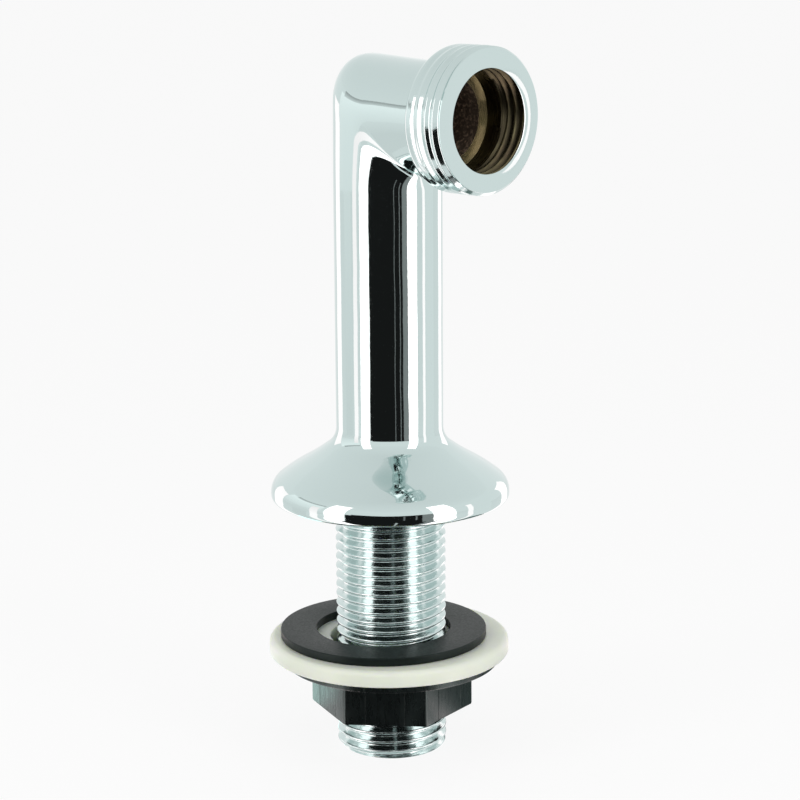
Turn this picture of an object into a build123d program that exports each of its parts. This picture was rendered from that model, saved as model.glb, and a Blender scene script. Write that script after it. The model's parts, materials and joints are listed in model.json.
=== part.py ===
from build123d import *
import os
from math import atan2, cos, degrees, floor, radians, sin, sqrt, tan

# Deck-mounted tap riser: a plated brass elbow on a threaded tail, with the two washers and the
# back nut that clamp it to the deck. The origin is the centre of the flange's underside, which
# rests on the deck. +Z is up and the outlet points along +X. Sizes are millimetres and degrees.

# Pipe threads. The tail's is drawn as rings with its pitch and depth, the others plain at their crests
THREAD_PITCH = 1.8143
THREAD_DEPTH = 1.162
FLANK_ANGLE = 27.5
TAIL_THREAD_DIA = 20.955
OUTLET_THREAD_DIA = 26.441
OUTLET_BORE_DIA = 18.63
THREAD_CLEARANCE = 0.1

# Column, elbow and outlet
OUTLET_HEIGHT = 72.7
OUTLET_REACH = 25.4
COLUMN_DIA = 20.2
NECK_DIA = 19.6
NECK_DRAFT = 3.0
WATERWAY_DIA = 15.0
HEEL_ROUNDING = 6.0
CROTCH_ROUNDING = 3.5
ELBOW_STEPS = 15
QUARTERS = (0, 90, 180, 270)
COLLAR_LENGTH = 8.7
COLLAR_FILLET = 1.5
COLLAR_ROUNDING = 1.0
NECK_ENTRY = 1.0
OUTLET_CHAMFER = 0.75
OUTLET_BORE_DEPTH = 8.8
MOUTH_CHAMFER = 0.22

# Flange that sits on the deck
FLANGE_DIA = 45.2
FLANGE_SLOPE = 33.2
FLANGE_LOWER_ROUNDING = 1.2
FLANGE_LAND = 0.27
FLANGE_UPPER_ROUNDING = 3.8
FLANGE_ROOT_FILLET = 4.2

# Threaded tail under the deck
TAIL_LENGTH = 48.8
TAIL_CHAMFER = 0.6
TAIL_MOUTH_CHAMFER = 0.5

# Space for the deck, between the flange and the rubber washer
DECK_GAP = 25.5

# Loose washers: each leans to one side of the tail and leaves a gap at that side
WASHER_LEAN = 225.0
RUBBER_DIA = 39.4
RUBBER_THICKNESS = 1.6
RUBBER_CLEARANCE = 2.4
RUBBER_NEAR_GAP = 0.9
RUBBER_ROUNDING = 0.2
PLASTIC_DIA = 45.9
PLASTIC_THICKNESS = 3.1
PLASTIC_CLEARANCE = 0.7
PLASTIC_NEAR_GAP = 0.25
PLASTIC_UPPER_ROUNDING = 1.1
PLASTIC_LOWER_ROUNDING = 0.5

# Flanged back nut
NUT_DISC_DIA = 41.2
NUT_DISC_THICKNESS = 1.8
NUT_DISC_ROUNDING = 0.3
NUT_ACROSS_FLATS = 27.0
NUT_HEX_HEIGHT = 9.0
NUT_CORNER_ANGLE = 39.5
NUT_CORNER_ROUNDING = 0.8
NUT_MOUTH_CHAMFER = 0.8

# Radii and levels that follow
tail_r = TAIL_THREAD_DIA / 2
outlet_r = OUTLET_THREAD_DIA / 2
bore_r = OUTLET_BORE_DIA / 2
column_r = COLUMN_DIA / 2
neck_r = NECK_DIA / 2
waterway_r = WATERWAY_DIA / 2
flange_r = FLANGE_DIA / 2

crotch_x = column_r + CROTCH_ROUNDING
crotch_z = OUTLET_HEIGHT - neck_r - CROTCH_ROUNDING
collar_x = OUTLET_REACH - COLLAR_LENGTH
shoulder_x = OUTLET_REACH - OUTLET_BORE_DEPTH

rim_z = (
    FLANGE_LOWER_ROUNDING
    + FLANGE_LAND
    + FLANGE_UPPER_ROUNDING * tan(radians((90 - FLANGE_SLOPE) / 2))
)
cone_z = rim_z + (flange_r - column_r) * tan(radians(FLANGE_SLOPE))

rubber_top = -DECK_GAP
plastic_top = rubber_top - RUBBER_THICKNESS
nut_top = plastic_top - PLASTIC_THICKNESS
hex_top = nut_top - NUT_DISC_THICKNESS
nut_bore_r = tail_r + THREAD_CLEARANCE

flank_slope = tan(radians(FLANK_ANGLE))
groove_root = THREAD_PITCH / 2 - THREAD_DEPTH * flank_slope
groove_mouth = groove_root + 2 * (THREAD_DEPTH + THREAD_CLEARANCE) * flank_slope
groove_count = floor((TAIL_LENGTH - TAIL_CHAMFER) / THREAD_PITCH)


def heel_reach(angle):
    """Distance from the crotch centre to the elbow's outer outline, along a ray at this angle.

    The outline is the back of the column, the heel's rounding and the drafted top of the neck.
    """
    slope = tan(radians(NECK_DRAFT))
    ray_u, ray_w = cos(radians(angle)), sin(radians(angle))
    back = COLUMN_DIA + CROTCH_ROUNDING
    top = NECK_DIA + CROTCH_ROUNDING
    arc_u = back - HEEL_ROUNDING
    arc_w = top + arc_u * slope - HEEL_ROUNDING / cos(radians(NECK_DRAFT))
    arc_end_u = arc_u - HEEL_ROUNDING * sin(radians(NECK_DRAFT))
    if angle <= degrees(atan2(arc_w, back)):
        return back / ray_u
    if angle >= degrees(atan2(top + arc_end_u * slope, arc_end_u)):
        return top / (ray_w - ray_u * slope)
    along = ray_u * arc_u + ray_w * arc_w
    return along + sqrt(along**2 - arc_u**2 - arc_w**2 + HEEL_ROUNDING**2)


def elbow_sections(bore, neck_end):
    """Planes and half axes of the elbow's sections, which turn about the crotch centre.

    The first section is the top of the turned column, the last but one is the start of the neck
    and the last is where the neck ends. With bore set, they are the waterway's sections.
    """
    sections = []
    for step in range(ELBOW_STEPS + 1):
        share = step / ELBOW_STEPS
        angle = 90 * share
        ray = Vector(-cos(radians(angle)), 0, sin(radians(angle)))
        travel = Vector(sin(radians(angle)), 0, cos(radians(angle)))
        half_width = column_r + share * (neck_r - column_r)
        half_depth = max(half_width, (heel_reach(angle) - CROTCH_ROUNDING) / 2)
        centre = Vector(crotch_x, 0, crotch_z) + ray * (CROTCH_ROUNDING + half_depth)
        wall = half_width - waterway_r if bore else 0
        plane = Plane(centre, x_dir=ray, z_dir=travel)
        sections.append((plane, half_depth - wall, half_width - wall))
    end_r = waterway_r if bore else neck_r
    end_plane = Plane((neck_end, 0, OUTLET_HEIGHT), x_dir=(0, 0, 1), z_dir=(1, 0, 0))
    return sections + [(end_plane, end_r, end_r)]


# Riser body: tail, flange and column turned about Z, then the elbow and the outlet's collar
collar_step = outlet_r - neck_r
outlet_axis = Axis((0, 0, OUTLET_HEIGHT), (1, 0, 0))
with BuildPart() as riser_body:
    with BuildSketch(Plane.XZ) as turned:
        with BuildLine():
            Polyline(
                (0, -TAIL_LENGTH),
                (tail_r, -TAIL_LENGTH),
                (tail_r, 0),
                (flange_r, 0),
                (flange_r, rim_z),
                (column_r, cone_z),
                (column_r, crotch_z),
                (0, crotch_z),
                close=True,
            )
        make_face()
        fillet(turned.vertices().sort_by_distance((flange_r, 0))[0], FLANGE_LOWER_ROUNDING)
        fillet(turned.vertices().sort_by_distance((flange_r, rim_z))[0], FLANGE_UPPER_ROUNDING)
        fillet(turned.vertices().sort_by_distance((column_r, cone_z))[0], FLANGE_ROOT_FILLET)
        chamfer(turned.vertices().sort_by_distance((tail_r, -TAIL_LENGTH))[0], TAIL_CHAMFER)
        with Locations((tail_r, (TAIL_CHAMFER - TAIL_LENGTH) / 2)):
            with GridLocations(THREAD_PITCH, THREAD_PITCH, 1, groove_count):
                Polygon(
                    (-THREAD_DEPTH, -groove_root / 2),
                    (THREAD_CLEARANCE, -groove_mouth / 2),
                    (THREAD_CLEARANCE, groove_mouth / 2),
                    (-THREAD_DEPTH, groove_root / 2),
                    align=None,
                    mode=Mode.SUBTRACT,
                )
    revolve(axis=Axis.Z)

    for section_plane, half_depth, half_width in elbow_sections(False, collar_x + NECK_ENTRY):
        with BuildSketch(section_plane):
            with BuildLine():
                for start in QUARTERS:
                    EllipticalCenterArc((0, 0), half_depth, half_width, start, arc_size=90)
            make_face()
    loft()

    with BuildSketch(Plane.XZ) as outlet:
        with Locations(((collar_x + OUTLET_REACH) / 2, OUTLET_HEIGHT + outlet_r / 2)):
            Rectangle(COLLAR_LENGTH, outlet_r)
        collar_end = outlet.vertices().sort_by_distance((OUTLET_REACH, OUTLET_HEIGHT + outlet_r))[0]
        chamfer(collar_end, OUTLET_CHAMFER)
        collar_back = outlet.vertices().sort_by_distance((collar_x, OUTLET_HEIGHT + outlet_r))[0]
        fillet(collar_back, min(COLLAR_ROUNDING, collar_step / 3))
    revolve(axis=outlet_axis)
    collar_back_face = riser_body.faces().filter_by(Plane.YZ).sort_by(Axis.X)[0]
    collar_root = collar_back_face.inner_wires()[0].edges()
    fillet(collar_root, min(COLLAR_FILLET, collar_step / 2))

    # Waterway: a bore up the column, the cored elbow, and the outlet's stepped bore
    with BuildSketch(Plane.XZ):
        with BuildLine():
            Polyline(
                (0, -TAIL_LENGTH),
                (waterway_r + TAIL_MOUTH_CHAMFER, -TAIL_LENGTH),
                (waterway_r, -TAIL_LENGTH + TAIL_MOUTH_CHAMFER),
                (waterway_r, crotch_z),
                (0, crotch_z),
                close=True,
            )
        make_face()
    revolve(axis=Axis.Z, mode=Mode.SUBTRACT)

    for section_plane, half_depth, half_width in elbow_sections(True, shoulder_x + NECK_ENTRY):
        with BuildSketch(section_plane):
            with BuildLine():
                for start in QUARTERS:
                    EllipticalCenterArc((0, 0), half_depth, half_width, start, arc_size=90)
            make_face()
    loft(mode=Mode.SUBTRACT)

    with BuildSketch(Plane.XZ):
        with BuildLine():
            Polyline(
                (shoulder_x, OUTLET_HEIGHT),
                (shoulder_x, OUTLET_HEIGHT + bore_r),
                (OUTLET_REACH - MOUTH_CHAMFER, OUTLET_HEIGHT + bore_r),
                (OUTLET_REACH, OUTLET_HEIGHT + bore_r + MOUTH_CHAMFER),
                (OUTLET_REACH, OUTLET_HEIGHT),
                close=True,
            )
        make_face()
    revolve(axis=outlet_axis, mode=Mode.SUBTRACT)


def washer_plane(top, clearance, near_gap):
    """Plane of a loose washer's top face, pushed off the tail's axis until the near gap is left."""
    lean = radians(WASHER_LEAN)
    shift = clearance - near_gap
    return Plane((shift * cos(lean), shift * sin(lean), top))


with BuildPart() as rubber_washer:
    with BuildSketch(washer_plane(rubber_top, RUBBER_CLEARANCE, RUBBER_NEAR_GAP)):
        Circle(RUBBER_DIA / 2)
        Circle(tail_r + RUBBER_CLEARANCE, mode=Mode.SUBTRACT)
    extrude(amount=-RUBBER_THICKNESS)
    rubber_rims = rubber_washer.edges().filter_by(GeomType.CIRCLE).group_by(SortBy.RADIUS)[-1]
    fillet(rubber_rims, RUBBER_ROUNDING)

with BuildPart() as plastic_washer:
    with BuildSketch(washer_plane(plastic_top, PLASTIC_CLEARANCE, PLASTIC_NEAR_GAP)):
        Circle(PLASTIC_DIA / 2)
        Circle(tail_r + PLASTIC_CLEARANCE, mode=Mode.SUBTRACT)
    extrude(amount=-PLASTIC_THICKNESS)
    plastic_rims = plastic_washer.edges().filter_by(GeomType.CIRCLE).group_by(SortBy.RADIUS)[-1]
    fillet(plastic_rims.sort_by(Axis.Z)[-1], PLASTIC_UPPER_ROUNDING)
    plastic_rims = plastic_washer.edges().filter_by(GeomType.CIRCLE).group_by(SortBy.RADIUS)[-1]
    fillet(plastic_rims.sort_by(Axis.Z)[0], PLASTIC_LOWER_ROUNDING)

# Back nut: a thin disc above a hexagon, bored to run on the tail
with BuildPart() as back_nut:
    with BuildSketch(Plane.XY.offset(nut_top)):
        Circle(NUT_DISC_DIA / 2)
    extrude(amount=-NUT_DISC_THICKNESS)
    disc_rims = back_nut.edges().filter_by(GeomType.CIRCLE)
    fillet(disc_rims, NUT_DISC_ROUNDING)
    with BuildSketch(Plane.XY.offset(hex_top)) as hexagon:
        RegularPolygon(
            NUT_ACROSS_FLATS / 2, side_count=6, major_radius=False, rotation=NUT_CORNER_ANGLE
        )
        fillet(hexagon.vertices(), NUT_CORNER_ROUNDING)
    extrude(amount=-NUT_HEX_HEIGHT)
    with BuildSketch(Plane.XY.offset(nut_top)):
        Circle(nut_bore_r)
    extrude(amount=-NUT_DISC_THICKNESS - NUT_HEX_HEIGHT, mode=Mode.SUBTRACT)
    nut_mouth = back_nut.faces().sort_by(Axis.Z)[0].inner_wires()[0].edges()
    chamfer(nut_mouth, NUT_MOUTH_CHAMFER)

riser_body.part.label = "riser_body"
rubber_washer.part.label = "rubber_washer"
plastic_washer.part.label = "plastic_washer"
back_nut.part.label = "back_nut"

os.makedirs("parts", exist_ok=True)
export_step(riser_body.part, "parts/riser_body.step")
export_step(rubber_washer.part, "parts/rubber_washer.step")
export_step(plastic_washer.part, "parts/plastic_washer.step")
export_step(back_nut.part, "parts/back_nut.step")
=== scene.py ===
import json
from math import atan2, ceil, cos, degrees, pi, radians, sin, sqrt, tan

import bmesh
import bpy
from mathutils import Matrix, Vector


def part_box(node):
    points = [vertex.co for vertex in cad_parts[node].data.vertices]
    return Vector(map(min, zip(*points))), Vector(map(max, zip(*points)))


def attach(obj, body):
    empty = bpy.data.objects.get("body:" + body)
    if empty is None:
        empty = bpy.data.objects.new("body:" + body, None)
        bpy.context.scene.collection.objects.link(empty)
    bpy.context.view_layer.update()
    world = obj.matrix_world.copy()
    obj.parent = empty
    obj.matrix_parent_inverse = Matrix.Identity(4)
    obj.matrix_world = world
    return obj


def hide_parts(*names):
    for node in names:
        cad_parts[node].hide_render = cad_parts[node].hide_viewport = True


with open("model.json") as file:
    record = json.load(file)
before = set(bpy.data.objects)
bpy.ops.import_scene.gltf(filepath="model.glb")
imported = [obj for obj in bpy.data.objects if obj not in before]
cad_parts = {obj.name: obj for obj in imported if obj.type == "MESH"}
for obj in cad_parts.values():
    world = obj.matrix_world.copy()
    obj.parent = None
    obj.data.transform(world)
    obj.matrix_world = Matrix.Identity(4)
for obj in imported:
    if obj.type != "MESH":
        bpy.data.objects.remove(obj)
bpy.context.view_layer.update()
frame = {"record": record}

bl_info = {
    "name": "Tap Riser",
    "version": (1, 0, 0),
    "blender": (4, 5, 0),
    "location": "View3D > Sidebar > Tap Riser",
    "description": "Builds a plated tap riser, its two washers and its back nut, with a studio stage",
    "category": "Add Mesh",
}

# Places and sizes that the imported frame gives, in metres
MM = 0.001
RECORD = frame["record"]
MOUNTS = {mount["name"]: mount for mount in RECORD["mounts"]}
RISER_LOW, RISER_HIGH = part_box("riser_body")
NUT_LOW, NUT_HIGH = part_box("back_nut")
TAIL_END = RISER_LOW.z
OUTLET_FACE = RISER_HIGH.x
FLANGE_RADIUS = RISER_HIGH.y
OUTLET_HEIGHT = MOUNTS["outlet_thread"]["pos_m"][2]
OUTLET_RADIUS = MOUNTS["outlet_thread"]["dims"]["r_mm"] * MM
BORE_RADIUS = MOUNTS["outlet_bore"]["dims"]["r_mm"] * MM
TAIL_RADIUS = MOUNTS["tail_thread"]["dims"]["r_mm"] * MM
WATERWAY_RADIUS = MOUNTS["tail_waterway"]["dims"]["r_mm"] * MM
PITCH = 2 * pi * RECORD["behaviour"]["couplings"][0]["ratio"]

# Form of the rounded 55 degree pipe thread, as shares of its pitch
THREAD_DEPTH = 0.640327 * PITCH
THREAD_ROUNDING = 0.137329 * PITCH
FLANK_TILT = 62.5

# How finely round things are cut
TURN_STEPS = 96
ELBOW_STEPS = 30
ARC_STEPS = 10
CREST_STEPS = 3
ROOT_STEPS = 2
CORNER_STEPS = 5
FOOT_STEPS = 2
WASHER_STEPS = 4
CARD_STEPS = TURN_STEPS // 4

# What counts as facing one way, as touching, as an open seam and as a sharp edge
FACING = 0.99
MERGE_DISTANCE = 2e-6
CUT_DISTANCE = 1e-7
SEAM = 0.12 * MM
SEAM_REACH = 1.5 * SEAM
SHARP_ANGLE = radians(38)

# The outlet is turned about Z first, and this lays it along X at its height
OUTLET_TURN = Matrix.Translation((0, 0, OUTLET_HEIGHT)) @ Matrix.Rotation(pi / 2, 4, "Y")

# Inputs of the skin that all finishes share, in the order that they are given
SKIN_VALUES = (
    "Wave Scale", "Wave Height", "Grain Scale", "Grain Detail", "Grain Height", "Low Roughness",
    "High Roughness",
)
WAVE_DETAIL = 1.0
GRAIN_ROUGHNESS = 0.6

# The finishes' skins. The plating's is wavy where polished, worn at the outlet and rough cut on the tail
POLISHED = (75.0, 1.8e-4, 900.0, 4.0, 1e-6, 0.03, 0.07)
WORN_THREAD = (300.0, 4e-5, 700.0, 3.0, 6e-6, 0.06, 0.14)
CUT_THREAD = (160.0, 4e-5, 420.0, 4.0, 2.5e-5, 0.06, 0.16)
RUBBED_SKIN = (200.0, 2e-5, 700.0, 3.0, 1e-5, 0.24, 0.42)
LATHE_SKIN = (300.0, 2e-5, 3000.0, 2.0, 4e-6, 0.16, 0.28)
CAST_SKIN = (400.0, 1e-4, 1500.0, 5.0, 6e-5, 0.5, 0.8)
RUBBER_SKIN = (90.0, 6e-5, 2600.0, 3.0, 8e-6, 0.36, 0.5)
PLASTIC_SKIN = (120.0, 5e-5, 1800.0, 3.0, 5e-6, 0.3, 0.45)
NUT_SKIN = (110.0, 1.5e-5, 1500.0, 4.0, 1e-5, 0.22, 0.36)

# How much finer a skin's pattern is along each axis
EVEN = (1.0, 1.0, 1.0)
ACROSS_OUTLET = (2.0, 1.0, 1.0)
ACROSS_TAIL = (1.0, 1.0, 6.0)
ROUND_BORE = (4.0, 0.3, 0.3)
UPRIGHT = (1.0, 1.0, 0.2)

# Ranges that masks are moved from and to
GRAIN_RANGE = (0.3, 0.7, 0.0, 1.0)
LINES = (0.3, 0.9, 0.0, 0.35)
SPECKLE = (0.5, 0.95, 0.0, 1.0)
RUBS = (0.5, 0.8, 0.0, 0.6)
CLOUD = (0.35, 0.65, 0.0, 1.0)
DRAWS = (0.55, 1.0, 0.0, 0.8)

# Scale, detail and roughness of the noises behind the rubber's rubs and the plastic's clouds
RUB_NOISE = (120.0, 4.0, 0.65)
CLOUD_NOISE = (70.0, 3.0, 0.5)

# How much darker or lighter the second colour of a finish is than its first
DULL_BRASS = 0.8
BARE_METAL = 4.0
PALE_RUBBER = 2.0
DEEP_PLASTIC = 0.93
PALE_NUT = 1.7

# Painted shade deeper in the bore: from one distance behind the face to another, it leaves only a small
# share of the bright lines. The lines lie on its thread's crests, partly wear and partly painted glints
BORE_SHADE_DEEP = OUTLET_FACE - 8.0 * MM
BORE_SHADE_NEAR = OUTLET_FACE - 4.5 * MM
DEEP_SHADE_SHARE = 0.08
CREST_END = BORE_RADIUS + 0.4 * THREAD_DEPTH
ROOT_WEAR_AND_GLINT = 0.3

# How metallic the cast skin is, the gloss of the black pieces, the floor's roughness, and how light
# soaks into the plastic
CAST_METAL = 0.4
RUBBER_GLOSS = 0.25
NUT_GLOSS = 0.6
FLOOR_ROUGHNESS = 0.8
SOAK = {"Subsurface_Weight": 0.7, "Subsurface_Radius": (0.9, 1.0, 0.6), "Subsurface_Scale": 0.003}

# Sockets of a Mix node that mixes colours
MIX_FACTOR, MIX_FIRST, MIX_SECOND, MIX_RESULT = 0, 6, 7, 2

# The cool tint of the black pieces' gloss, and of the cards beside the nut
COOL = (0.74, 1.0, 0.95, 1.0)

# Other cards that are brighter than this are warm, so that the cool plating mirrors them white
BRIGHT_CARD = 1.3
WARM = (1.16, 1.0, 1.01, 1.0)
WHITE = (1.0, 1.0, 1.0, 1.0)

# Profiles of cards that only mirrors see: millimetres from the column's axis and above the deck
FOOT = -47.8
INNER, OUTER = 11.5, 250
NEAR = ((INNER, FOOT), (60, FOOT), (60, -18))
NUT_SIDE = ((INNER, -47.5), (60, -47.4))
FAR_LOW = ((110, FOOT), (OUTER, FOOT), (OUTER, 34))
FAR = ((110, FOOT), (OUTER, FOOT), (OUTER, 46))
GLINT = ((249, -47.5), (249, 38))
LOW = ((INNER, FOOT), (OUTER, FOOT), (OUTER, 28))
WALL = ((INNER, FOOT), (OUTER, FOOT), (OUTER, 90))
TALL = ((INNER, FOOT), (OUTER, FOOT), (OUTER, 150), (190, 185))
SIDE = ((251, 28), (251, 136))
LINE = ((OUTER, 128), (OUTER, 154))
DOME = ((252, 154), (1, 350))
BLACK = 0.012

# Where each card starts and ends, in degrees left and right of the camera, its brightness at its foot
# and at its top, and its profile
CARDS = {
    "dark_near_left": (-41, 4, BLACK, BLACK, NEAR),
    "dark_near_right": (6, 29, BLACK, BLACK, NEAR),
    "thin_line": (4, 6, 0.6, 0.6, NEAR),
    "dark_far_left": (-41, -36, BLACK, BLACK, FAR_LOW),
    "dark_far": (-36, 29, BLACK, BLACK, FAR),
    "glint_left": (11.5, 13, 0.2, 0.2, GLINT),
    "glint_right": (22.5, 24, 0.26, 0.26, GLINT),
    "dim_near": (29, 40, 0.3, 0.3, NEAR),
    "dim_far": (29, 40, 0.3, 0.3, FAR),
    "white_left": (-62, -42, 2.4, 2.4, TALL),
    "white_right": (40, 61, 2.4, 2.4, TALL),
    "pale_left": (-79, -69, 1.45, 1.2, WALL),
    "pale_right": (75, 82, 1.45, 1.45, WALL),
    "grey_left": (-104, -84, 0.9, 1.0, LOW),
    "grey_right": (84, 108, 1.0, 1.0, WALL),
    "side_left": (-118, -66, 1.05, 1.25, SIDE),
    "far_line": (-110, -66, 0.9, 0.45, LINE),
    "back_left": (-140, -119, 1.5, 1.4, WALL),
    "back_right": (129, 146, 1.6, 1.6, WALL),
    "nut_left": (-142, -112, 2.15, 2.15, NUT_SIDE),
    "nut_right": (88, 134, 0.2, 0.2, NUT_SIDE),
    "ceiling": (-180, 180, 0.98, 0.87, DOME),
}

# Finishes of the riser's faces, in the order of its material slots
PLATED, PLATED_THREAD, PLATED_TAIL, CAST_BRASS, TURNED_BRASS, BRASS_THREAD = range(6)


def length(name, description, default):
    """A size in metres that the sidebar shows as a distance."""
    return bpy.props.FloatProperty(
        name=name, description=description, default=default, min=0.0, precision=5, subtype="DISTANCE"
    )


def angle(name, description, default):
    """An angle, written in degrees and kept in radians."""
    return bpy.props.FloatProperty(
        name=name, description=description, default=radians(default), subtype="ANGLE"
    )


def colour(name, description, default):
    """A linear colour without alpha."""
    return bpy.props.FloatVectorProperty(
        name=name, description=description, default=default, size=3, min=0.0, max=1.0, subtype="COLOR"
    )


def level(name, description, default):
    """A plain number, such as a strength or a share."""
    return bpy.props.FloatProperty(name=name, description=description, default=default, precision=3)


class TapRiserBodySizes(bpy.types.PropertyGroup):
    """Sizes of the plated riser that the frame doesn't give."""

    column_radius: length("Column", "Radius of the upright column", 0.0101)
    neck_radius: length("Neck", "Radius of the neck before the collar", 0.0098)
    neck_draft: angle("Neck draft", "Slope of the neck's top, down towards the outlet", 3.0)
    heel_rounding: length("Heel", "Rounding at the elbow's outer corner", 0.006)
    crotch_rounding: length("Crotch", "Rounding under the elbow", 0.0035)
    collar_length: length("Collar", "Length of the outlet's collar", 0.0087)
    collar_band: length("Collar band", "Plain length of the collar before its thread", 0.0016)
    collar_fillet: length("Collar root", "Fillet where the neck meets the collar", 0.0016)
    collar_rounding: length("Collar edge", "Rounding of the collar's back edge", 0.0014)
    outlet_chamfer: length("Outlet chamfer", "Chamfer of the outlet's outer edge", 0.0004)
    outlet_thread_turn: angle("Outlet thread turn", "Turn that sets where the thread ends", -130.0)
    outlet_worn: level("Worn thread", "Share of its depth that the thread has beside the neck", 0.16)
    outlet_cut: level("Cut thread", "Share of its depth that the thread has at the face", 0.62)
    mouth_chamfer: length("Mouth chamfer", "Chamfer at the mouth of the outlet's bore", 0.00022)
    bore_thread: length("Bore thread", "How far the inside thread reaches into the bore", 0.0056)
    shoulder_depth: length("Shoulder", "Depth of the machined shoulder in the bore", 0.0091)
    shoulder_rise: length("Shoulder rise", "How much the shoulder slopes towards the passage", 0.0004)
    flange_slope: angle("Flange slope", "Slope of the flange's cone", 33.2)
    cone_bow: length("Cone bow", "How much the cone swells at its foot and sinks at its top", 0.0001)
    flange_lower_rounding: length("Lower rim", "Rounding of the flange's lower edge", 0.0012)
    flange_land: length("Rim land", "Plain height between the rim's two roundings", 0.00027)
    flange_upper_rounding: length("Upper rim", "Rounding between the rim and the cone", 0.0038)
    flange_root_fillet: length("Flange root", "Fillet between the cone and the column", 0.0042)
    tail_chamfer: length("Tail chamfer", "Chamfer at the tail's end", 0.0006)
    tail_mouth: length("Tail mouth", "Chamfer at the waterway's lower mouth", 0.0005)
    runout: length("Thread runout", "Length over which a thread fades out", 0.0011)


class TapRiserTrimSizes(bpy.types.PropertyGroup):
    """Sizes of the washers and the nut that the frame doesn't give."""

    rubber_clearance: length("Rubber hole", "Room between the tail and the rubber washer", 0.0024)
    rubber_rounding: length("Rubber edge", "Rounding of the rubber washer's edges", 0.0002)
    plastic_clearance: length("Plastic hole", "Room between the tail and the plastic washer", 0.0007)
    plastic_upper: length("Plastic upper edge", "Rounding of the plastic washer's upper rim", 0.0011)
    plastic_lower: length("Plastic lower edge", "Rounding of the plastic washer's lower rim", 0.0005)
    disc_thickness: length("Nut disc", "Thickness of the nut's disc", 0.0018)
    disc_rounding: length("Nut disc edge", "Rounding of the disc's edges", 0.0003)
    across_flats: length("Across flats", "Width of the nut's hexagon", 0.027)
    corner_angle: angle("Nut corner", "Angle of one of the hexagon's corners", 39.5)
    corner_rounding: length("Nut corner rounding", "Rounding of the hexagon's corners", 0.0008)
    nut_clearance: length("Nut hole", "Room between the tail and the nut's bore", 0.0001)
    nut_mouth: length("Nut mouth", "Chamfer at the bottom of the nut's bore", 0.0008)
    foot_bevel: length("Nut foot", "Bevel round the bottom of the hexagon", 0.0003)
    line_inset: length("Draw line place", "How far a draw line stands from a corner", 0.0041)
    line_width: length("Draw line width", "Width of the hexagon's draw lines", 0.00016)
    line_depth: length("Draw line depth", "Depth of the hexagon's draw lines", 0.00008)


class TapRiserFinishes(bpy.types.PropertyGroup):
    """Colours of the riser's materials."""

    chrome: colour("Chrome", "Colour of the bright plating", (0.58, 0.685, 0.675))
    brass: colour("Turned brass", "Colour of freshly cut brass", (0.50, 0.45, 0.24))
    tarnish: colour("Tarnished brass", "Colour of the brass inside the bore", (0.065, 0.054, 0.034))
    casting: colour("Cast skin", "Colour of the rough cast passage", (0.13, 0.095, 0.068))
    rubber: colour("Rubber", "Colour of the rubber washer", (0.005, 0.007, 0.0065))
    plastic: colour("Natural plastic", "Colour of the plastic washer", (0.83, 0.87, 0.76))
    nut: colour("Nut", "Colour of the nut's black plastic", (0.006, 0.0075, 0.0075))


class TapRiserStage(bpy.types.PropertyGroup):
    """Camera, floor and light."""

    camera_place: bpy.props.FloatVectorProperty(
        name="Camera", description="Where the camera stands", default=(0.29788, -0.29728, 0.11192),
        size=3, subtype="TRANSLATION",
    )
    camera_pitch: angle("Camera pitch", "Tilt of the view below the horizon", 12.474)
    camera_yaw: angle("Camera yaw", "Turn of the view away from +Y", 44.79)
    camera_roll: angle("Camera roll", "Roll of the camera about its view", -0.392)
    lens: level("Lens", "Focal length in millimetres on a 36 mm sensor", 103.14)
    floor_size: length("Floor", "Radius of the floor", 12.0)
    floor_colour: colour("Floor colour", "Colour of the pale floor", (0.95, 0.95, 0.95))
    floor_glow: level("Floor glow", "Share of plain white in the floor that the camera sees", 0.88)
    world_level: level("World", "Strength of the world's soft light", 0.57)
    lamp_level: level("Lamps", "Brightness of the two lamps' faces", 2.7)
    lamp_width: length("Lamp width", "Width of a lamp's face", 0.13)
    lamp_height: length("Lamp height", "Height of a lamp's face", 0.50)
    lamp_distance: length("Lamp distance", "How far the lamps stand from the column", 0.36)
    lamp_left: angle("Left lamp", "Turn of the left lamp away from the camera", -58.0)
    lamp_right: angle("Right lamp", "Turn of the right lamp away from the camera", 47.0)


def arc(centre, radius, start, end, steps=ARC_STEPS):
    """Points of an arc in a profile, as pairs of radius and height. Angles are in degrees."""
    turns = [radians(start + (end - start) * step / steps) for step in range(steps + 1)]
    return [(centre[0] + radius * cos(turn), centre[1] + radius * sin(turn)) for turn in turns]


def bowed(start, end, bow):
    """Points between two others on a slight S, which swells first and then sinks."""
    run, rise = end[0] - start[0], end[1] - start[1]
    reach = sqrt(run**2 + rise**2)
    points = []
    for step in range(1, 2 * ARC_STEPS):
        part = step / (2 * ARC_STEPS)
        swell = bow * sin(2 * pi * part) / reach
        points.append((start[0] + run * part + rise * swell, start[1] + rise * part - run * swell))
    return points


def chain(bm, points):
    """A run of edges through points in the XZ half plane."""
    verts = [bm.verts.new((radius, 0, height)) for radius, height in points]
    return verts + [bm.edges.new(pair) for pair in zip(verts, verts[1:])]


def turned(points):
    """A profile turned once about Z, open where the profile ends."""
    bm = bmesh.new()
    bmesh.ops.spin(
        bm, geom=chain(bm, points), cent=(0, 0, 0), axis=(0, 0, 1), dvec=(0, 0, 0), angle=2 * pi,
        steps=TURN_STEPS, use_merge=True, use_normal_flip=False, use_duplicate=False,
    )
    return bm


def thread_profile(crest):
    """One pitch of the rounded thread, from crest to crest, as pairs of radius and height."""
    crest_centre = (crest - THREAD_ROUNDING, 0)
    root_centre = (crest - THREAD_DEPTH + THREAD_ROUNDING, PITCH / 2)
    rising = arc(crest_centre, THREAD_ROUNDING, 0, FLANK_TILT, CREST_STEPS)
    rising += arc(root_centre, THREAD_ROUNDING, 180 + FLANK_TILT, 180, ROOT_STEPS)
    falling = [(radius, PITCH - height) for radius, height in reversed(rising[:-1])]
    return rising + falling


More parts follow.
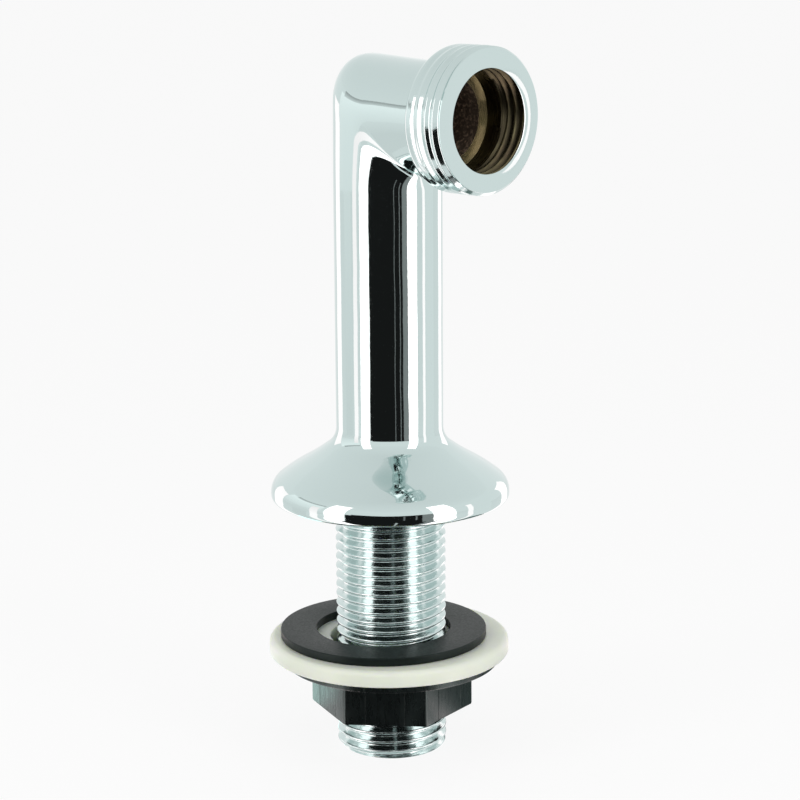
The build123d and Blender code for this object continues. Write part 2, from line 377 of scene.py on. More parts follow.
def threaded(crest, low, high, shape):
    """A right-hand thread about Z between two heights, its ends shaped and then cut flat.

    shape takes a radius and a height and gives the radius that the thread has there.
    """
    bm = bmesh.new()
    start = low - 2 * PITCH
    points = [(radius, start + height) for radius, height in thread_profile(crest)]
    bmesh.ops.spin(
        bm, geom=chain(bm, points), cent=(0, 0, 0), axis=(0, 0, 1), dvec=(0, 0, PITCH / TURN_STEPS),
        angle=2 * pi, steps=TURN_STEPS, use_merge=False, use_normal_flip=False, use_duplicate=False,
    )
    first_turn = bm.verts[:] + bm.edges[:] + bm.faces[:]
    for lap in range(1, ceil((high - low) / PITCH) + 2):
        copied = bmesh.ops.duplicate(bm, geom=first_turn)["geom"]
        verts = [item for item in copied if isinstance(item, bmesh.types.BMVert)]
        bmesh.ops.translate(bm, vec=(0, 0, lap * PITCH), verts=verts)
    bmesh.ops.remove_doubles(bm, verts=bm.verts, dist=MERGE_DISTANCE)
    for vert in bm.verts:
        radius = vert.co.xy.length
        vert.co.xy *= shape(radius, vert.co.z) / radius
    for height, upper in ((low, False), (high, True)):
        bmesh.ops.bisect_plane(
            bm, geom=bm.verts[:] + bm.edges[:] + bm.faces[:], dist=CUT_DISTANCE, plane_co=(0, 0, height),
            plane_no=(0, 0, 1), clear_outer=upper, clear_inner=not upper,
        )
    return bm


def share(value, start, end):
    """How far a value lies between two others, held between 0 and 1."""
    return min(max((value - start) / (end - start), 0.0), 1.0)


def take_in(bm, other, finish, matrix=Matrix.Identity(4)):
    """Moves another bmesh into this one, placed and with one finish on all its faces."""
    bmesh.ops.transform(other, matrix=matrix, verts=other.verts)
    for face in other.faces:
        face.material_index = finish
    scratch = bpy.data.meshes.new("scratch")
    other.to_mesh(scratch)
    other.free()
    bm.from_mesh(scratch)
    bpy.data.meshes.remove(scratch)


def close_ring(bm, place, axis, reach, finish):
    """Bridges the two open rings that lie near a plane across an axis."""
    rings = [
        edge for edge in bm.edges
        if edge.is_boundary and all(abs((vert.co - place).dot(axis)) < reach for vert in edge.verts)
    ]
    for face in bmesh.ops.bridge_loops(bm, edges=rings)["faces"]:
        face.material_index = finish


def heel_reach(sizes, turn):
    """Distance from the crotch's centre to the elbow's outer outline, along a ray at this turn."""
    slope = tan(sizes.neck_draft)
    back = 2 * sizes.column_radius + sizes.crotch_rounding
    top = 2 * sizes.neck_radius + sizes.crotch_rounding
    arc_u = back - sizes.heel_rounding
    arc_w = top + arc_u * slope - sizes.heel_rounding / cos(sizes.neck_draft)
    arc_end_u = arc_u - sizes.heel_rounding * sin(sizes.neck_draft)
    if turn <= atan2(arc_w, back):
        return back / cos(turn)
    if turn >= atan2(top + arc_end_u * slope, arc_end_u):
        return top / (sin(turn) - cos(turn) * slope)
    along = cos(turn) * arc_u + sin(turn) * arc_w
    return along + sqrt(along**2 - arc_u**2 - arc_w**2 + sizes.heel_rounding**2)


def section_place(sizes, part_turn, wall):
    """Matrix that puts a unit circle at one of the elbow's oval sections, a wall's thickness in."""
    turn = part_turn * pi / 2
    ray = Vector((-cos(turn), 0, sin(turn)))
    travel = Vector((sin(turn), 0, cos(turn)))
    half_width = sizes.column_radius + part_turn * (sizes.neck_radius - sizes.column_radius)
    half_depth = max(half_width, (heel_reach(sizes, turn) - sizes.crotch_rounding) / 2)
    crotch = Vector((
        sizes.column_radius + sizes.crotch_rounding, 0,
        OUTLET_HEIGHT - sizes.neck_radius - sizes.crotch_rounding,
    ))
    centre = crotch + ray * (sizes.crotch_rounding + half_depth)
    inset = half_width - WATERWAY_RADIUS if wall else 0.0
    columns = (ray * (half_depth - inset), travel.cross(ray) * (half_width - inset), travel)
    place = Matrix.Identity(4)
    for index, column in enumerate((*columns, centre)):
        place.col[index].xyz = column
    return place


def elbow(sizes, wall, neck_end):
    """The elbow's skin: one ring extruded from section to section, and on along the neck."""
    bm = bmesh.new()
    places = [section_place(sizes, step / ELBOW_STEPS, wall) for step in range(ELBOW_STEPS + 1)]
    neck_start = places[-1].translation.x
    places.append(Matrix.Translation((neck_end - neck_start, 0, 0)) @ places[-1])
    bmesh.ops.create_circle(bm, cap_ends=False, radius=1, segments=TURN_STEPS, matrix=places[0])
    ring = bm.edges[:]
    for place, next_place in zip(places, places[1:]):
        made = bmesh.ops.extrude_edge_only(bm, edges=ring)["geom"]
        verts = [item for item in made if isinstance(item, bmesh.types.BMVert)]
        bmesh.ops.transform(bm, matrix=next_place @ place.inverted(), verts=verts)
        fresh = set(verts)
        ring = [
            item for item in made
            if isinstance(item, bmesh.types.BMEdge) and fresh.issuperset(item.verts)
        ]
    return bm


def flange_and_column(sizes, top):
    """Profile of the flange's underside, rim, cone and the column up to the elbow."""
    slope = sizes.flange_slope
    tilt = 90 - degrees(slope)
    lower, upper = sizes.flange_lower_rounding, sizes.flange_upper_rounding
    root = sizes.flange_root_fillet
    land_top = lower + sizes.flange_land
    rim_corner = land_top + upper * tan(radians(tilt) / 2)
    cone_top = rim_corner + (FLANGE_RADIUS - sizes.column_radius) * tan(slope)
    root_centre = (sizes.column_radius + root, cone_top + root * (1 - sin(slope)) / cos(slope))
    points = [(TAIL_RADIUS + SEAM, 0)]
    points += arc((FLANGE_RADIUS - lower, lower), lower, -90, 0)
    points += arc((FLANGE_RADIUS - upper, land_top), upper, 0, tilt)
    root_arc = arc(root_centre, root, 180 + tilt, 180)
    points += bowed(points[-1], root_arc[0], sizes.cone_bow) + root_arc
    return points + [(sizes.column_radius, top)]


def collar_outside(sizes, thread_start):
    """Profile of the neck's root fillet and the collar's plain band, along the outlet."""
    back = OUTLET_FACE - sizes.collar_length
    fillet, edge = sizes.collar_fillet, sizes.collar_rounding
    points = arc((sizes.neck_radius + fillet, back - fillet), fillet, 180, 90)
    points += arc((OUTLET_RADIUS - edge, back + edge), edge, -90, 0)
    return points + [(OUTLET_RADIUS, thread_start)]


def riser_mesh(sizes):
    """The riser's whole skin: tail, flange, column, elbow and outlet, and the waterway inside."""
    bm = bmesh.new()
    elbow_low = OUTLET_HEIGHT - sizes.neck_radius - sizes.crotch_rounding
    collar_back = OUTLET_FACE - sizes.collar_length
    thread_start = collar_back + sizes.collar_band
    chamfer_end = OUTLET_RADIUS - sizes.outlet_chamfer
    tail_chamfer_end = TAIL_RADIUS - sizes.tail_chamfer
    bore_crest = BORE_RADIUS + THREAD_DEPTH
    mouth = OUTLET_FACE - sizes.mouth_chamfer
    bore_thread_end = OUTLET_FACE - sizes.bore_thread
    shoulder = OUTLET_FACE - sizes.shoulder_depth
    passage = shoulder - sizes.shoulder_rise

    def tail_shape(radius, height):
        return min(radius, tail_chamfer_end + max(height - TAIL_END, 0))

    def outlet_shape(radius, height):
        run = share(height, thread_start, OUTLET_FACE)
        depth = sizes.outlet_worn + (sizes.outlet_cut - sizes.outlet_worn) * run**2
        depth *= share(height, thread_start, thread_start + sizes.runout)
        worn = OUTLET_RADIUS - (OUTLET_RADIUS - radius) * depth
        return min(worn, chamfer_end + max(OUTLET_FACE - height, 0))

    def bore_shape(radius, height):
        depth = share(height, bore_thread_end, bore_thread_end + sizes.runout)
        return BORE_RADIUS + (radius - BORE_RADIUS) * depth

    take_in(bm, threaded(TAIL_RADIUS, TAIL_END, 0, tail_shape), PLATED_TAIL)
    take_in(bm, turned(flange_and_column(sizes, elbow_low)), PLATED)
    take_in(bm, elbow(sizes, False, collar_back - sizes.collar_fillet), PLATED)
    take_in(bm, turned(collar_outside(sizes, thread_start - SEAM)), PLATED, OUTLET_TURN)
    outlet_thread = threaded(OUTLET_RADIUS, thread_start, OUTLET_FACE, outlet_shape)
    thread_turn = OUTLET_TURN @ Matrix.Rotation(sizes.outlet_thread_turn, 4, "Z")
    take_in(bm, outlet_thread, PLATED_THREAD, thread_turn)
    face = [
        (chamfer_end - THREAD_DEPTH, OUTLET_FACE),
        (BORE_RADIUS + sizes.mouth_chamfer, OUTLET_FACE),
        (BORE_RADIUS, mouth + SEAM),
    ]
    take_in(bm, turned(face), PLATED, OUTLET_TURN)
    bore_thread = threaded(bore_crest, bore_thread_end, mouth - SEAM, bore_shape)
    take_in(bm, bore_thread, BRASS_THREAD, OUTLET_TURN)
    bore = [(BORE_RADIUS, bore_thread_end - SEAM), (BORE_RADIUS, shoulder)]
    take_in(bm, turned(bore), BRASS_THREAD, OUTLET_TURN)
    step = [(BORE_RADIUS, shoulder), (WATERWAY_RADIUS, passage)]
    take_in(bm, turned(step), TURNED_BRASS, OUTLET_TURN)
    take_in(bm, elbow(sizes, True, passage), CAST_BRASS)
    waterway = [(WATERWAY_RADIUS, elbow_low), (WATERWAY_RADIUS, TAIL_END + sizes.tail_mouth)]
    take_in(bm, turned(waterway), CAST_BRASS)
    tail_face = [
        (WATERWAY_RADIUS, TAIL_END + sizes.tail_mouth),
        (WATERWAY_RADIUS + sizes.tail_mouth, TAIL_END),
        (tail_chamfer_end - THREAD_DEPTH / 2, TAIL_END),
    ]
    take_in(bm, turned(tail_face), PLATED)
    bmesh.ops.remove_doubles(bm, verts=bm.verts, dist=MERGE_DISTANCE)

    up, along = Vector((0, 0, 1)), Vector((1, 0, 0))
    close_ring(bm, Vector((0, 0, 0)), up, MERGE_DISTANCE, PLATED)
    close_ring(bm, Vector((0, 0, TAIL_END)), up, MERGE_DISTANCE, PLATED)
    close_ring(bm, Vector((thread_start, 0, 0)), along, SEAM_REACH, PLATED)
    close_ring(bm, Vector((OUTLET_FACE, 0, 0)), along, MERGE_DISTANCE, PLATED)
    close_ring(bm, Vector((mouth, 0, 0)), along, SEAM_REACH, BRASS_THREAD)
    close_ring(bm, Vector((bore_thread_end, 0, 0)), along, SEAM_REACH, BRASS_THREAD)
    bmesh.ops.recalc_face_normals(bm, faces=bm.faces)
    return bm


def finish_piece(bm, name, body, cad_node, materials):
    """Makes an object of a finished bmesh, smooth but for its sharp edges, riding on its body."""
    mesh = bpy.data.meshes.new(name)
    bm.to_mesh(mesh)
    bm.free()
    mesh.shade_smooth()
    mesh.set_sharp_from_angle(angle=SHARP_ANGLE)
    for material in materials:
        mesh.materials.append(material)
    piece = bpy.data.objects.new(name, mesh)
    bpy.context.scene.collection.objects.link(piece)
    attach(piece, body)
    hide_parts(cad_node)
    return piece


def node(tree, kind, **values):
    """A shader node with its inputs fed."""
    made = tree.nodes.new(kind)
    feed(tree, made, **values)
    return made


def plug(tree, socket, value):
    """Sets a socket to a value, or links it where the value is another node's socket."""
    if isinstance(value, bpy.types.NodeSocket):
        tree.links.new(value, socket)
    else:
        socket.default_value = value


def feed(tree, made, **values):
    """Sets or links a node's inputs by name, with underscores for spaces."""
    for key, value in values.items():
        plug(tree, made.inputs[key.replace("_", " ")], value)


def new_material(name):
    """An empty material with a Principled shader, and the parts that the finishes need."""
    material = bpy.data.materials.new(name)
    material.use_nodes = True
    tree = material.node_tree
    tree.nodes.clear()
    shader = node(tree, "ShaderNodeBsdfPrincipled")
    node(tree, "ShaderNodeOutputMaterial", Surface=shader.outputs["BSDF"])
    place = node(tree, "ShaderNodeTexCoord")
    return material, tree, shader, place.outputs["Object"]


def noise(tree, place, scale, detail=2.0, roughness=0.5):
    """The value of a noise texture at a place."""
    made = node(
        tree, "ShaderNodeTexNoise", Vector=place, Scale=scale, Detail=detail, Roughness=roughness
    )
    return made.outputs["Fac"]


def between(tree, value, from_min, from_max, to_min, to_max):
    """A value moved from one range to another, held inside it."""
    moved = node(
        tree, "ShaderNodeMapRange", Value=value, From_Min=from_min, From_Max=from_max, To_Min=to_min,
        To_Max=to_max,
    )
    return moved.outputs["Result"]


def reckoned(tree, operation, first, second):
    """The result of a sum on two values."""
    sum_node = tree.nodes.new("ShaderNodeMath")
    sum_node.operation = operation
    plug(tree, sum_node.inputs[0], first)
    plug(tree, sum_node.inputs[1], second)
    return sum_node.outputs["Value"]


def blended(tree, factor, first, second):
    """Two colours mixed by a factor."""
    mix = tree.nodes.new("ShaderNodeMix")
    mix.data_type = "RGBA"
    plug(tree, mix.inputs[MIX_FIRST], (*first, 1))
    plug(tree, mix.inputs[MIX_SECOND], (*second, 1))
    plug(tree, mix.inputs[MIX_FACTOR], factor)
    return mix.outputs[MIX_RESULT]


def shaded(base, factor):
    """A colour made darker or lighter."""
    return [factor * part for part in base]


def uneven_skin():
    """The node group that every finish shares: soft waves, a fine grain and the gloss that follows it.

    Wave Height and Grain Height are real heights in metres, and Grain runs from 0 to 1.
    """
    tree = bpy.data.node_groups.get("uneven_skin")
    if tree:
        return tree
    tree = bpy.data.node_groups.new("uneven_skin", "ShaderNodeTree")
    tree.interface.new_socket(name="Place", in_out="INPUT", socket_type="NodeSocketVector")
    for name in SKIN_VALUES:
        tree.interface.new_socket(name=name, in_out="INPUT", socket_type="NodeSocketFloat")
    for name in ("Grain", "Roughness"):
        tree.interface.new_socket(name=name, in_out="OUTPUT", socket_type="NodeSocketFloat")
    tree.interface.new_socket(name="Normal", in_out="OUTPUT", socket_type="NodeSocketVector")
    given = node(tree, "NodeGroupInput").outputs
    waves = noise(tree, given["Place"], given["Wave Scale"], WAVE_DETAIL)
    grain = noise(
        tree, given["Place"], given["Grain Scale"], given["Grain Detail"], GRAIN_ROUGHNESS
    )
    grain = between(tree, grain, *GRAIN_RANGE)
    gloss = between(tree, grain, 0.0, 1.0, given["Low Roughness"], given["High Roughness"])
    wave_height = reckoned(tree, "MULTIPLY", waves, given["Wave Height"])
    grain_height = reckoned(tree, "MULTIPLY", grain, given["Grain Height"])
    height = reckoned(tree, "ADD", wave_height, grain_height)
    bump = node(tree, "ShaderNodeBump", Strength=1.0, Distance=1.0, Height=height)
    node(tree, "NodeGroupOutput", Grain=grain, Roughness=gloss, Normal=bump.outputs["Normal"])
    return tree


def skinned(tree, shader, place, values):
    """Puts the shared skin on a shader, with one value for each of its inputs, and gives its grain."""
    skin = tree.nodes.new("ShaderNodeGroup")
    skin.node_tree = uneven_skin()
    feed(tree, skin, Place=place, **dict(zip(SKIN_VALUES, values)))
    feed(tree, shader, Roughness=skin.outputs["Roughness"], Normal=skin.outputs["Normal"])
    return skin.outputs["Grain"]


def radius_about_outlet(tree, place):
    """Distance of a place from the outlet's axis."""
    split = node(tree, "ShaderNodeSeparateXYZ", Vector=place).outputs
    above = reckoned(tree, "SUBTRACT", split["Z"], OUTLET_HEIGHT)
    flat = node(tree, "ShaderNodeCombineXYZ", Y=split["Y"], Z=above)
    size = tree.nodes.new("ShaderNodeVectorMath")
    size.operation = "LENGTH"
    tree.links.new(flat.outputs["Vector"], size.inputs[0])
    return size.outputs["Value"]


def chrome_finish(finishes, name, stretch, skin):
    """Bright plating with its own skin, whose pattern is drawn finer along the axes of stretch."""
    material, tree, shader, place = new_material(name)
    feed(tree, shader, Base_Color=(*finishes.chrome, 1), Metallic=1.0)
    drawn = node(tree, "ShaderNodeMapping", Vector=place, Scale=stretch)
    skinned(tree, shader, drawn.outputs["Vector"], skin)
    return material


def brass_thread_finish(finishes):
    """Tarnished brass in the bore, worn bright in thin lines along the crests of its thread; the lines
    are partly wear and partly painted glints, and painted shade dims them deeper in.
    """
    material, tree, shader, place = new_material("tarnished_brass_thread")
    feed(tree, shader, Metallic=1.0)
    drawn = node(tree, "ShaderNodeMapping", Vector=place, Scale=ROUND_BORE).outputs["Vector"]
    grain = skinned(tree, shader, drawn, RUBBED_SKIN)
    radius = radius_about_outlet(tree, place)
    # Bright lines on the crests, darker at the roots: partly wear, partly painted glints
    crest = between(tree, radius, BORE_RADIUS, CREST_END, 1.0, ROOT_WEAR_AND_GLINT)
    along = node(tree, "ShaderNodeSeparateXYZ", Vector=place).outputs["X"]
    # Painted shade: the bright lines fade to a small share deeper in the bore
    depth_shade = between(tree, along, BORE_SHADE_DEEP, BORE_SHADE_NEAR, DEEP_SHADE_SHARE, 1.0)
    lines = reckoned(tree, "MULTIPLY", depth_shade, between(tree, grain, *LINES))
    wear_glint_and_shade = reckoned(tree, "MULTIPLY", crest, lines)
    feed(tree, shader, Base_Color=blended(tree, wear_glint_and_shade, finishes.tarnish, finishes.brass))
    return material


def turned_brass_finish(finishes):
    """Freshly turned brass with the tool's fine rings about the outlet."""
    material, tree, shader, place = new_material("turned_brass")
    feed(tree, shader, Metallic=1.0)
    across = node(tree, "ShaderNodeCombineXYZ", X=radius_about_outlet(tree, place))
    grain = skinned(tree, shader, across.outputs["Vector"], LATHE_SKIN)
    dull = shaded(finishes.brass, DULL_BRASS)
    feed(tree, shader, Base_Color=blended(tree, grain, dull, finishes.brass))
    return material


def cast_brass_finish(finishes):
    """The rough, dark skin of the cast passage, speckled with bare metal."""
    material, tree, shader, place = new_material("cast_brass")
    feed(tree, shader, Metallic=CAST_METAL)
    grain = skinned(tree, shader, place, CAST_SKIN)
    speckle = between(tree, grain, *SPECKLE)
    light = shaded(finishes.casting, BARE_METAL)
    feed(tree, shader, Base_Color=blended(tree, speckle, finishes.casting, light))
    return material


def rubber_finish(finishes):
    """Satin black rubber with a fine moulded grain and a few pale rubs."""
    material, tree, shader, place = new_material("black_rubber")
    skinned(tree, shader, place, RUBBER_SKIN)
    feed(tree, shader, Specular_IOR_Level=RUBBER_GLOSS, Specular_Tint=COOL)
    rubs = between(tree, noise(tree, place, *RUB_NOISE), *RUBS)
    pale = shaded(finishes.rubber, PALE_RUBBER)
    feed(tree, shader, Base_Color=blended(tree, rubs, finishes.rubber, pale))
    return material


def plastic_finish(finishes):
    """Waxy natural plastic that light soaks into."""
    material, tree, shader, place = new_material("natural_plastic")
    skinned(tree, shader, place, PLASTIC_SKIN)
    cloud = between(tree, noise(tree, place, *CLOUD_NOISE), *CLOUD)
    deep = shaded(finishes.plastic, DEEP_PLASTIC)
    feed(tree, shader, Base_Color=blended(tree, cloud, deep, finishes.plastic))
    feed(tree, shader, **SOAK)
    return material


def nut_finish(finishes):
    """Black moulded plastic with a dry grain and faint upright draw marks."""
    material, tree, shader, place = new_material("black_plastic")
    drawn = node(tree, "ShaderNodeMapping", Vector=place, Scale=UPRIGHT).outputs["Vector"]
    grain = skinned(tree, shader, drawn, NUT_SKIN)
    feed(tree, shader, Specular_IOR_Level=NUT_GLOSS, Specular_Tint=COOL)
    draws = between(tree, grain, *DRAWS)
    pale = shaded(finishes.nut, PALE_NUT)
    feed(tree, shader, Base_Color=blended(tree, draws, finishes.nut, pale))
    return material


class TAPRISER_OT_body(bpy.types.Operator):
    """Build the plated riser with its threads and its brass waterway."""

    bl_idname = "tap_riser.body"
    bl_label = "Riser"

    def execute(self, context):
        finishes = context.scene.tap_riser_finishes
        bm = riser_mesh(context.scene.tap_riser_body)
        materials = [
            chrome_finish(finishes, "polished_chrome", EVEN, POLISHED),
            chrome_finish(finishes, "outlet_thread_chrome", ACROSS_OUTLET, WORN_THREAD),
            chrome_finish(finishes, "tail_thread_chrome", ACROSS_TAIL, CUT_THREAD),
            cast_brass_finish(finishes),
            turned_brass_finish(finishes),
            brass_thread_finish(finishes),
        ]
        finish_piece(bm, "plated_riser", "riser", "riser_body", materials)
        return {"FINISHED"}


def washer_mesh(node_name, hole_radius, upper, lower):
    """A flat ring with rounded edges, where the frame has the washer."""
    low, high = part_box(node_name)
    rim = (high.x - low.x) / 2
    thickness = high.z - low.z
    inner = lower / 2
    points = arc((hole_radius + inner, inner), inner, 270, 180, WASHER_STEPS)
    points += arc((hole_radius + inner, thickness - inner), inner, 180, 90, WASHER_STEPS)
    points += arc((rim - upper, thickness - upper), upper, 90, 0)
    points += arc((rim - lower, lower), lower, 0, -90)
    bm = turned(points + points[:1])
    bmesh.ops.remove_doubles(bm, verts=bm.verts, dist=MERGE_DISTANCE)
    centre = (low + high) / 2
    bmesh.ops.translate(bm, vec=(centre.x, centre.y, low.z), verts=bm.verts)
    bmesh.ops.recalc_face_normals(bm, faces=bm.faces)
    return bm


class TAPRISER_OT_washers(bpy.types.Operator):
    """Build the rubber washer and the plastic washer under it."""

    bl_idname = "tap_riser.washers"
    bl_label = "Washers"

    def execute(self, context):
        sizes = context.scene.tap_riser_trim
        finishes = context.scene.tap_riser_finishes
        rubber_hole = TAIL_RADIUS + sizes.rubber_clearance
        plastic_hole = TAIL_RADIUS + sizes.plastic_clearance
        edge = sizes.rubber_rounding
        rubber = washer_mesh("rubber_washer", rubber_hole, edge, edge)
        plastic = washer_mesh("plastic_washer", plastic_hole, sizes.plastic_upper, sizes.plastic_lower)
        finish_piece(
            rubber, "rubber_ring", "washers", "rubber_washer", [rubber_finish(finishes)]
        )
        finish_piece(
            plastic, "plastic_ring", "washers", "plastic_washer",
            [plastic_finish(finishes)],
        )
        return {"FINISHED"}


def nut_hexagon(sizes, top):
    """The nut's hexagon without its end faces: rounded corners, a bevelled foot and draw lines."""
    bm = bmesh.new()
    flat = sizes.across_flats / 2
    spot = Matrix.Translation((0, 0, top)) @ Matrix.Rotation(sizes.corner_angle, 4, "Z")
    bmesh.ops.create_circle(
        bm, cap_ends=True, radius=flat / cos(pi / 6), segments=6,
        matrix=spot @ Matrix.Rotation(-pi / 2, 4, "Z"),
    )
    made = bmesh.ops.extrude_face_region(bm, geom=bm.faces[:])["geom"]
    foot = [item for item in made if isinstance(item, bmesh.types.BMVert)]
    bmesh.ops.translate(bm, vec=(0, 0, NUT_LOW.z - top), verts=foot)
    upright = [edge for edge in bm.edges if edge.verts[0].co.z != edge.verts[1].co.z]
    bmesh.ops.bevel(
        bm, geom=upright, offset=sizes.corner_rounding * tan(pi / 6), offset_type="OFFSET",
        affect="EDGES", segments=CORNER_STEPS, profile=0.5, material=-1,
    )
    around_foot = [edge for edge in bm.edges if all(vert.co.z == NUT_LOW.z for vert in edge.verts)]
    bmesh.ops.bevel(
        bm, geom=around_foot, offset=sizes.foot_bevel, offset_type="OFFSET", affect="EDGES",
        segments=FOOT_STEPS, profile=0.5, material=-1,
    )
    ends = [face for face in bm.faces if abs(face.normal.z) > FACING]
    bmesh.ops.delete(bm, geom=ends, context="FACES_ONLY")
    half_side = flat * tan(pi / 6)
    for side in range(3):
        turn = sizes.corner_angle + pi / 6 + side * pi / 3
        outward = Vector((cos(turn), sin(turn), 0))
        along = Vector((-sin(turn), cos(turn), 0))
        for offset in (half_side - sizes.line_inset, sizes.line_inset - half_side):
            cut_draw_line(bm, outward, along, offset, sizes)
    return bm


def cut_draw_line(bm, outward, along, offset, sizes):
    """Cuts a shallow upright groove at one offset into two opposite faces of the hexagon."""
    for shift in (-sizes.line_width / 2, 0, sizes.line_width / 2):
        flats = [face for face in bm.faces if abs(face.normal.dot(outward)) > FACING]
        edges = {edge for face in flats for edge in face.edges}
        verts = {vert for face in flats for vert in face.verts}
        bmesh.ops.bisect_plane(
            bm, geom=[*verts, *edges, *flats], dist=CUT_DISTANCE,
            plane_co=along * (offset + shift), plane_no=along, clear_outer=False, clear_inner=False,
        )
    flat = sizes.across_flats / 2
    for vert in bm.verts:
        height = vert.co.dot(outward)
        on_line = abs(vert.co.dot(along) - offset) < sizes.line_width / 4
        if on_line and abs(abs(height) - flat) < sizes.line_width:
            vert.co -= outward * (sizes.line_depth if height > 0 else -sizes.line_depth)


def nut_mesh(sizes):
    """The nut's disc and hexagon, bored through and joined into one skin."""
    bm = bmesh.new()
    rim = NUT_HIGH.x
    bore = TAIL_RADIUS + sizes.nut_clearance
    top, hex_top = NUT_HIGH.z, NUT_HIGH.z - sizes.disc_thickness
    edge = sizes.disc_rounding
    corner = sizes.across_flats / 2 / cos(pi / 6)
    disc = [(bore + sizes.nut_mouth, NUT_LOW.z), (bore, NUT_LOW.z + sizes.nut_mouth), (bore, top)]
    disc += arc((rim - edge, top - edge), edge, 90, 0, CORNER_STEPS)
    disc += arc((rim - edge, hex_top + edge), edge, 0, -90, CORNER_STEPS)
    disc += [(corner, hex_top)]
    take_in(bm, turned(disc), 0)
    take_in(bm, nut_hexagon(sizes, hex_top), 0)
    up = Vector((0, 0, 1))
    close_ring(bm, Vector((0, 0, hex_top)), up, MERGE_DISTANCE, 0)
    close_ring(bm, Vector((0, 0, NUT_LOW.z)), up, MERGE_DISTANCE, 0)
    bmesh.ops.recalc_face_normals(bm, faces=bm.faces)
    return bm


class TAPRISER_OT_back_nut(bpy.types.Operator):
    """Build the flanged back nut."""

    bl_idname = "tap_riser.back_nut"
    bl_label = "Back nut"

    def execute(self, context):
        bm = nut_mesh(context.scene.tap_riser_trim)
        finish = nut_finish(context.scene.tap_riser_finishes)
        finish_piece(bm, "flanged_nut", "nut", "back_nut", [finish])
        return {"FINISHED"}


def stage_object(name, data):
    """Puts an object that isn't part of the riser into the scene."""
    thing = bpy.data.objects.new(name, data)
    bpy.context.scene.collection.objects.link(thing)
    return thing


def stage_mesh(name, bm, material):
    """A stage object made of a bmesh."""
    mesh = bpy.data.meshes.new(name)
    bm.to_mesh(mesh)
    bm.free()
    mesh.materials.append(material)
    thing = stage_object(name, mesh)
    return thing


def seen_directly(tree):
    """1 for rays from the camera, from mirrors and through clear things, and 0 for all others."""
    path = node(tree, "ShaderNodeLightPath").outputs
    mirrored = reckoned(tree, "MAXIMUM", path["Is Glossy Ray"], path["Is Transmission Ray"])
    return reckoned(tree, "MAXIMUM", path["Is Camera Ray"], mirrored)


def floor_finish(stage):
    """Pale matt floor that looks nearly white and keeps the riser's shadow."""
    material, tree, shader, _ = new_material("pale_floor")
    feed(tree, shader, Base_Color=(*stage.floor_colour, 1), Roughness=FLOOR_ROUGHNESS)
    feed(tree, shader, Specular_IOR_Level=0.0)
    glow = node(tree, "ShaderNodeEmission")
    mix = tree.nodes.new("ShaderNodeMixShader")
    seen = between(tree, seen_directly(tree), 0.0, 1.0, 0.0, stage.floor_glow)
    tree.links.new(seen, mix.inputs["Fac"])
    tree.links.new(shader.outputs["BSDF"], mix.inputs[1])
    tree.links.new(glow.outputs["Emission"], mix.inputs[2])
    tree.links.new(mix.outputs["Shader"], tree.nodes["Material Output"].inputs["Surface"])
    return material


def light_world(stage):
    """A white world that lights the riser softly and shows white to the eye and in mirrors."""
    world = bpy.data.worlds.new("studio")
    bpy.context.scene.world = world
    world.use_nodes = True
    tree = world.node_tree
    background = tree.nodes["Background"]
    background.inputs["Color"].default_value = (1, 1, 1, 1)
    strength = between(tree, seen_directly(tree), 0.0, 1.0, stage.world_level, 1.0)
    tree.links.new(strength, background.inputs["Strength"])


def soft_lamp(stage, name, turn):
    """A tall soft lamp that faces the column, at a turn about Z. Mirrors don't show it."""
    data = bpy.data.lights.new(name, "AREA")
    data.shape = "RECTANGLE"
    data.size, data.size_y = stage.lamp_width, stage.lamp_height
    data.energy = stage.lamp_level * pi * stage.lamp_width * stage.lamp_height
    lamp = stage_object(name, data)
    middle = TAIL_END + stage.lamp_height / 2
    lamp.location = (stage.lamp_distance * cos(turn), stage.lamp_distance * sin(turn), middle)
    lamp.rotation_euler = (pi / 2, 0, turn + pi / 2)
    lamp.visible_camera = False
    lamp.visible_glossy = False


def mirror_card(name, facing):
    """A card that only mirrors see, its profile swept about the column."""
    start, end, foot_level, top_level, profile = CARDS[name]
    material = bpy.data.materials.new(name)
    material.use_nodes = True
    tree = material.node_tree
    tree.nodes.clear()
    place = node(tree, "ShaderNodeTexCoord").outputs["Object"]
    height = node(tree, "ShaderNodeSeparateXYZ", Vector=place).outputs["Z"]
    low, high = profile[0][1] * MM, profile[-1][1] * MM
    brightness = between(tree, height, low, high, foot_level, top_level)
    tint = WARM if foot_level > BRIGHT_CARD else WHITE
    if profile == NUT_SIDE:
        tint = COOL
    glow = node(tree, "ShaderNodeEmission", Color=tint, Strength=brightness)
    node(tree, "ShaderNodeOutputMaterial", Surface=glow.outputs["Emission"])
    points = [(distance * MM, height * MM) for distance, height in profile]
    bm = bmesh.new()
    bmesh.ops.spin(
        bm, geom=chain(bm, points), cent=(0, 0, 0), axis=(0, 0, 1), dvec=(0, 0, 0),
        angle=radians(end - start), steps=CARD_STEPS, use_merge=False, use_normal_flip=False,
        use_duplicate=False,
    )
    turn = Matrix.Rotation(facing + radians(start), 3, "Z")
    bmesh.ops.rotate(bm, cent=(0, 0, 0), matrix=turn, verts=bm.verts)
    card = stage_mesh(name, bm, material)
    card.visible_camera = False
    card.visible_diffuse = False
    card.visible_shadow = False


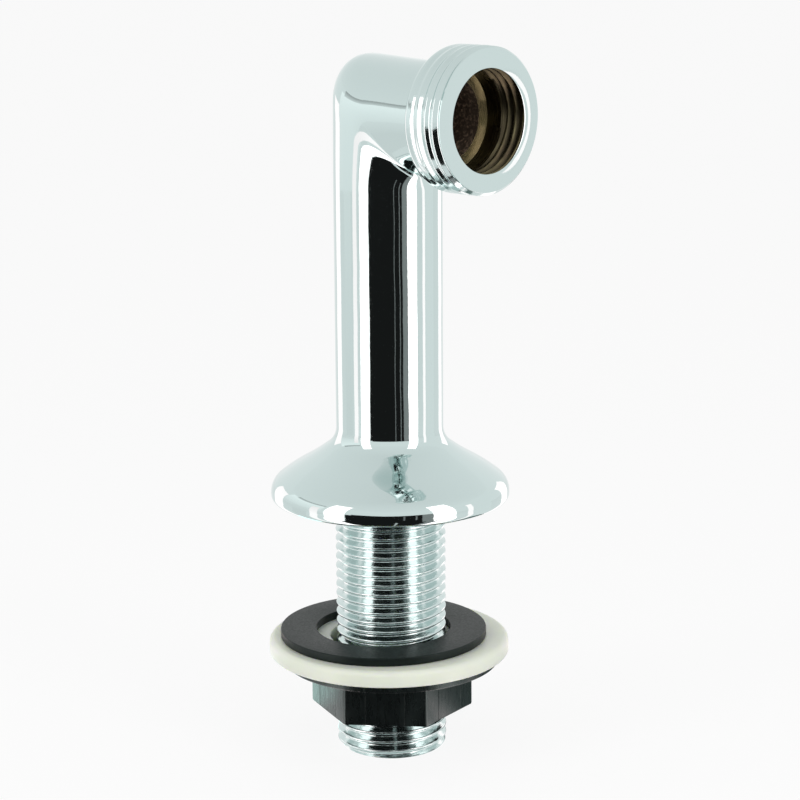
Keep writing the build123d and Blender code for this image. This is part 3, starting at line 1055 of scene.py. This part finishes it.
class TAPRISER_OT_stage(bpy.types.Operator):
    """Set up the floor, the light, the cards that the chrome mirrors, and the camera."""

    bl_idname = "tap_riser.stage"
    bl_label = "Stage"

    def execute(self, context):
        stage = context.scene.tap_riser_stage
        context.scene.view_settings.view_transform = "Standard"
        light_world(stage)

        bm = bmesh.new()
        bmesh.ops.create_circle(
            bm, cap_ends=True, radius=stage.floor_size, segments=TURN_STEPS,
            matrix=Matrix.Translation((0, 0, TAIL_END)),
        )
        stage_mesh("floor", bm, floor_finish(stage))

        facing = atan2(stage.camera_place[1], stage.camera_place[0])
        for name in CARDS:
            mirror_card(name, facing)
        soft_lamp(stage, "lamp_left", facing + stage.lamp_left)
        soft_lamp(stage, "lamp_right", facing + stage.lamp_right)

        data = bpy.data.cameras.new("camera")
        data.lens = stage.lens
        camera = stage_object("camera", data)
        camera.location = stage.camera_place
        yaw = Matrix.Rotation(stage.camera_yaw, 3, "Z")
        pitch = Matrix.Rotation(pi / 2 - stage.camera_pitch, 3, "X")
        roll = Matrix.Rotation(stage.camera_roll, 3, "Z")
        camera.rotation_euler = (yaw @ pitch @ roll).to_euler()
        context.scene.camera = camera
        return {"FINISHED"}


class TAPRISER_PT_panel(bpy.types.Panel):
    """Sidebar list of the riser's pieces and their settings."""

    bl_idname = "TAPRISER_PT_panel"
    bl_label = "Tap Riser"
    bl_space_type = "VIEW_3D"
    bl_region_type = "UI"
    bl_category = "Tap Riser"

    def draw(self, context):
        for operator in OPERATORS:
            self.layout.operator(operator.bl_idname)
        for name in SETTINGS:
            settings = getattr(context.scene, name)
            box = self.layout.box()
            for key in settings.__annotations__:
                box.prop(settings, key)


SETTINGS = {
    "tap_riser_body": TapRiserBodySizes,
    "tap_riser_trim": TapRiserTrimSizes,
    "tap_riser_finishes": TapRiserFinishes,
    "tap_riser_stage": TapRiserStage,
}
OPERATORS = (TAPRISER_OT_stage, TAPRISER_OT_body, TAPRISER_OT_washers, TAPRISER_OT_back_nut)
CLASSES = (*SETTINGS.values(), *OPERATORS, TAPRISER_PT_panel)


def register():
    """Adds the settings, the operators and the panel to Blender."""
    for part in CLASSES:
        bpy.utils.register_class(part)
    for name, settings in SETTINGS.items():
        setattr(bpy.types.Scene, name, bpy.props.PointerProperty(type=settings))


def unregister():
    """Takes the settings, the operators and the panel out of Blender."""
    for name in SETTINGS:
        delattr(bpy.types.Scene, name)
    for part in reversed(CLASSES):
        bpy.utils.unregister_class(part)


def main():
    """Builds the stage and every piece."""
    register()
    bpy.ops.tap_riser.stage()
    bpy.ops.tap_riser.body()
    bpy.ops.tap_riser.washers()
    bpy.ops.tap_riser.back_nut()


if __name__ == "__main__":
    main()
